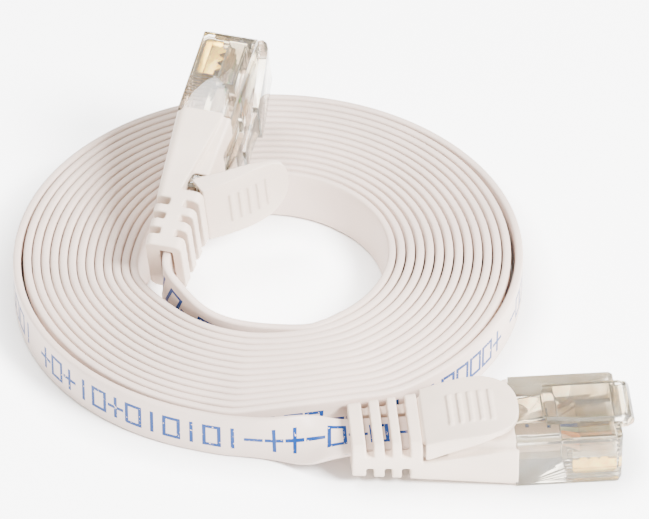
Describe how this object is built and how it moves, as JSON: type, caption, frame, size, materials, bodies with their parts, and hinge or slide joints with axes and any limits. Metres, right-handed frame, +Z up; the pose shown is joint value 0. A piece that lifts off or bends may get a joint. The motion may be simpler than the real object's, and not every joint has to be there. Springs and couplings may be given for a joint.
{
  "type": "ethernet patch cable",
  "caption": "Flat white patch cable wound into a ring, with a clear modular plug, pressable latch and hinged latch guard on each end",
  "frame": {"origin": "middle of the footprint's box, on the surface the cable lies on", "axes": "+Z up, +X to the right along the outer plug's side, +Y away from the outer plug across the coil"},
  "size_m": [0.0728, 0.0668, 0.0214],
  "materials": {
    "cable_jacket": "satin off-white PVC",
    "boot_plastic": "satin off-white PVC",
    "clear_plastic": "clear, slightly yellow",
    "contact_gold": "gold plated",
    "wire_1": "conductor insulation",
    "wire_2": "conductor insulation",
    "wire_3": "conductor insulation",
    "wire_4": "conductor insulation",
    "wire_5": "conductor insulation",
    "wire_6": "conductor insulation",
    "wire_7": "conductor insulation",
    "wire_8": "conductor insulation"
  },
  "bodies": {
    "cable": {"cable_coil": "cable_jacket", "cable_outer_lead": "cable_jacket", "cable_inner_lead": "cable_jacket", "outer_plug_housing": "clear_plastic", "outer_contacts": "contact_gold", "outer_load_bar": "clear_plastic", "outer_crimp_wedge": "clear_plastic", "outer_boot": "boot_plastic", "outer_wire_1": "wire_1", "outer_wire_2": "wire_2", "outer_wire_3": "wire_3", "outer_wire_4": "wire_4", "outer_wire_5": "wire_5", "outer_wire_6": "wire_6", "outer_wire_7": "wire_7", "outer_wire_8": "wire_8", "inner_plug_housing": "clear_plastic", "inner_contacts": "contact_gold", "inner_load_bar": "clear_plastic", "inner_crimp_wedge": "clear_plastic", "inner_boot": "boot_plastic", "inner_wire_1": "wire_1", "inner_wire_2": "wire_2", "inner_wire_3": "wire_3", "inner_wire_4": "wire_4", "inner_wire_5": "wire_5", "inner_wire_6": "wire_6", "inner_wire_7": "wire_7", "inner_wire_8": "wire_8"},
    "outer_latch": {"outer_plug_latch": "clear_plastic"},
    "outer_guard": {"outer_latch_guard": "boot_plastic"},
    "inner_latch": {"inner_plug_latch": "clear_plastic"},
    "inner_guard": {"inner_latch_guard": "boot_plastic"}
  },
  "joints": [
    {"name": "outer_guard_hinge", "type": "hinge", "parent": "cable", "child": "outer_guard", "pos_m": [0.01192, -0.02814, 0.00581], "axis": [0.0785, -0.9969, 0], "range_deg": [0, 40], "stiffness_Nm_per_rad": 0.001},
    {"name": "outer_latch_hinge", "type": "hinge", "parent": "cable", "child": "outer_latch", "pos_m": [0.03431, -0.02638, 0.00626], "axis": [-0.0785, 0.9969, 0], "range_deg": [0, 9], "stiffness_Nm_per_rad": 0.001},
    {"name": "inner_guard_hinge", "type": "hinge", "parent": "cable", "child": "inner_guard", "pos_m": [-0.01386, 0.00492, 0.00976], "axis": [0.0714, 0.2575, -0.9636], "range_deg": [-40, 4], "stiffness_Nm_per_rad": 0.001},
    {"name": "inner_latch_hinge", "type": "hinge", "parent": "cable", "child": "inner_latch", "pos_m": [-0.00764, 0.02565, 0.01576], "axis": [-0.0714, -0.2575, 0.9636], "range_deg": [-9, 1], "stiffness_Nm_per_rad": 0.001}
  ],
  "couplings": [
    {"joint": "outer_latch_hinge", "follows": "outer_guard_hinge", "ratio": 0.225},
    {"joint": "inner_latch_hinge", "follows": "inner_guard_hinge", "ratio": 0.225}
  ]
}
